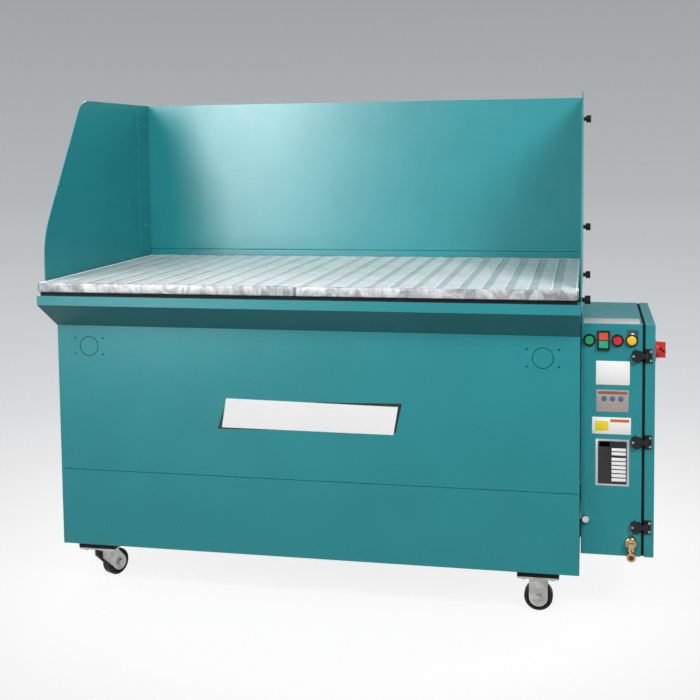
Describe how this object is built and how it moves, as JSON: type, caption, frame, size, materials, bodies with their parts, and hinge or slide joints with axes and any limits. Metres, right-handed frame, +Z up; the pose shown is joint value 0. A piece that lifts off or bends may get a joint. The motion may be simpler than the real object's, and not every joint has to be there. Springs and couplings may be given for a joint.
{
  "type": "downdraft table",
  "caption": "Wheeled downdraft workshop table: grated top over a filter cabinet with pull-out dust drawer, back guard with wings, side control box.",
  "frame": {"origin": "on the floor, under the middle of the overall box", "axes": "+X along the front to the operator's right, +Y to the rear, +Z up"},
  "size_m": [1.8124, 0.9046, 1.465],
  "materials": {
    "teal_paint": "satin powder coat, teal",
    "galvanised_grate": "galvanised, mottled",
    "galvanised_sheet": "galvanised sheet",
    "black_rubber": "matt black rubber",
    "white_sign": "blank white sign plate with black backing",
    "white_label": "blank label plates",
    "zinc_plate": "zinc plated steel",
    "black_plastic": "black plastic",
    "tyre_black": "black rubber tread",
    "slide_plastic": "natural slide plastic",
    "filter_paper": "filter media",
    "motor_grey": "grey enamel",
    "impeller_metal": "plain sheet",
    "cast_aluminium": "cast",
    "gear_grey": "switchgear plastic",
    "green_cap": "green button",
    "red_cap": "red button",
    "orange_cap": "orange red button",
    "yellow_lens": "yellow lens",
    "disconnect_red": "red handle",
    "brass": "machined brass",
    "bright_steel": "knurled bright steel"
  },
  "bodies": {
    "cabinet": {"left_side_panel": "teal_paint", "right_side_panel": "teal_paint", "rear_panel": "teal_paint", "base_pan": "teal_paint", "upper_front_panel": "teal_paint", "apron_tray": "teal_paint", "back_panel": "teal_paint", "wing_left": "teal_paint", "wing_right": "teal_paint", "enclosure_box": "teal_paint", "exhaust_grille": "teal_paint", "grate_support_rails": "galvanised_sheet", "tube_sheet": "galvanised_sheet", "spark_baffle": "galvanised_sheet", "fan_section": "galvanised_sheet", "grate_seal": "black_rubber", "door_gasket": "black_rubber", "caster_pads": "black_rubber", "front_sign": "white_sign", "label_plates": "white_label", "wing_studs": "zinc_plate", "swivel_caster_plates": "zinc_plate", "rigid_caster_brackets": "zinc_plate", "caster_bolts": "zinc_plate", "door_hinge_fixed": "zinc_plate", "enclosure_gland_plate": "zinc_plate", "wing_thumb_knobs": "black_plastic", "latch_keepers": "black_plastic", "button_bodies": "black_plastic", "drawer_runners": "slide_plastic", "filter_cartridges": "filter_paper", "fan_motor": "motor_grey", "air_tank_and_valves": "cast_aluminium", "control_gear": "gear_grey", "yellow_lamp": "yellow_lens", "air_inlet_fitting": "brass"},
    "grate_left_body": {"grate_left": "galvanised_grate"},
    "grate_right_body": {"grate_right": "galvanised_grate"},
    "dust_drawer": {"lower_front_panel": "teal_paint", "dust_drawer_tray": "galvanised_sheet"},
    "impeller": {"fan_impeller": "impeller_metal"},
    "swivel_front_left": {"caster_fork_front_left": "zinc_plate"},
    "swivel_rear_left": {"caster_fork_rear_left": "zinc_plate"},
    "wheel_front_left": {"caster_wheel_front_left": "tyre_black"},
    "wheel_rear_left": {"caster_wheel_rear_left": "tyre_black"},
    "wheel_front_right": {"caster_wheel_front_right": "tyre_black"},
    "wheel_rear_right": {"caster_wheel_rear_right": "tyre_black"},
    "door": {"enclosure_door": "teal_paint", "door_hinge_leaves": "zinc_plate", "latch_bases": "black_plastic", "disconnect_plate": "disconnect_red"},
    "latch_arm_1": {"latch_arm_1": "black_plastic"},
    "latch_arm_2": {"latch_arm_2": "black_plastic"},
    "latch_arm_3": {"latch_arm_3": "black_plastic"},
    "green_button": {"green_button": "green_cap"},
    "red_button": {"red_button": "red_cap"},
    "stop_button": {"stop_button": "orange_cap"},
    "start_button": {"start_button": "green_cap"},
    "disconnect_handle": {"disconnect_handle": "disconnect_red"},
    "side_knob": {"side_knob": "bright_steel"}
  },
  "joints": [
    {"name": "grate_left_lift", "type": "slide", "parent": "cabinet", "child": "grate_left_body", "axis": [0, 0, 1], "range_m": [0, 0.25]},
    {"name": "grate_right_lift", "type": "slide", "parent": "cabinet", "child": "grate_right_body", "axis": [0, 0, 1], "range_m": [0, 0.25]},
    {"name": "drawer_pull", "type": "slide", "parent": "cabinet", "child": "dust_drawer", "axis": [0, -1, 0], "range_m": [0, 0.45]},
    {"name": "impeller_spin", "type": "hinge", "parent": "cabinet", "child": "impeller", "pos_m": [0.43575, -0.09875, 0.358], "axis": [0, 0, 1], "continuous": true},
    {"name": "swivel_front_left_turn", "type": "hinge", "parent": "cabinet", "child": "swivel_front_left", "pos_m": [-0.75075, -0.32225, 0.0977], "axis": [0, 0, 1], "continuous": true},
    {"name": "wheel_front_left_roll", "type": "hinge", "parent": "swivel_front_left", "child": "wheel_front_left", "pos_m": [-0.73058, -0.28091, 0.04], "axis": [-0.8988, 0.4384, 0], "continuous": true},
    {"name": "swivel_rear_left_turn", "type": "hinge", "parent": "cabinet", "child": "swivel_rear_left", "pos_m": [-0.75075, 0.37975, 0.0977], "axis": [0, 0, 1], "continuous": true},
    {"name": "wheel_rear_left_roll", "type": "hinge", "parent": "swivel_rear_left", "child": "wheel_rear_left", "pos_m": [-0.70475, 0.37975, 0.04], "axis": [0, 1, 0], "continuous": true},
    {"name": "wheel_front_right_roll", "type": "hinge", "parent": "cabinet", "child": "wheel_front_right", "pos_m": [0.56425, -0.32225, 0.04], "axis": [0, 1, 0], "continuous": true},
    {"name": "wheel_rear_right_roll", "type": "hinge", "parent": "cabinet", "child": "wheel_rear_right", "pos_m": [0.56425, 0.37975, 0.04], "axis": [0, 1, 0], "continuous": true},
    {"name": "door_swing", "type": "hinge", "parent": "cabinet", "child": "door", "pos_m": [0.84625, 0.10275, 0.4975], "axis": [0, 0, 1], "range_deg": [0, 110]},
    {"name": "latch_arm_1_turn", "type": "hinge", "parent": "door", "child": "latch_arm_1", "pos_m": [0.85525, -0.35255, 0.2605], "axis": [0, 0, 1], "range_deg": [0, 100]},
    {"name": "latch_arm_2_turn", "type": "hinge", "parent": "door", "child": "latch_arm_2", "pos_m": [0.85525, -0.35255, 0.4975], "axis": [0, 0, 1], "range_deg": [0, 100]},
    {"name": "latch_arm_3_turn", "type": "hinge", "parent": "door", "child": "latch_arm_3", "pos_m": [0.85525, -0.35255, 0.7345], "axis": [0, 0, 1], "range_deg": [0, 100]},
    {"name": "green_button_press", "type": "slide", "parent": "cabinet", "child": "green_button", "axis": [0, 1, 0], "range_m": [0, 0.003], "stiffness_N_per_m": 600},
    {"name": "red_button_press", "type": "slide", "parent": "cabinet", "child": "red_button", "axis": [0, 1, 0], "range_m": [0, 0.003], "stiffness_N_per_m": 600},
    {"name": "stop_button_press", "type": "slide", "parent": "cabinet", "child": "stop_button", "axis": [0, 1, 0], "range_m": [0, 0.003], "stiffness_N_per_m": 600},
    {"name": "start_button_press", "type": "slide", "parent": "cabinet", "child": "start_button", "axis": [0, 1, 0], "range_m": [0, 0.003], "stiffness_N_per_m": 600},
    {"name": "disconnect_turn", "type": "hinge", "parent": "door", "child": "disconnect_handle", "pos_m": [0.87625, -0.28425, 0.742], "axis": [1, 0, 0], "range_deg": [0, 90]},
    {"name": "side_knob_turn", "type": "hinge", "parent": "cabinet", "child": "side_knob", "pos_m": [0.69325, -0.34425, 0.277], "axis": [0, 1, 0], "continuous": true}
  ]
}
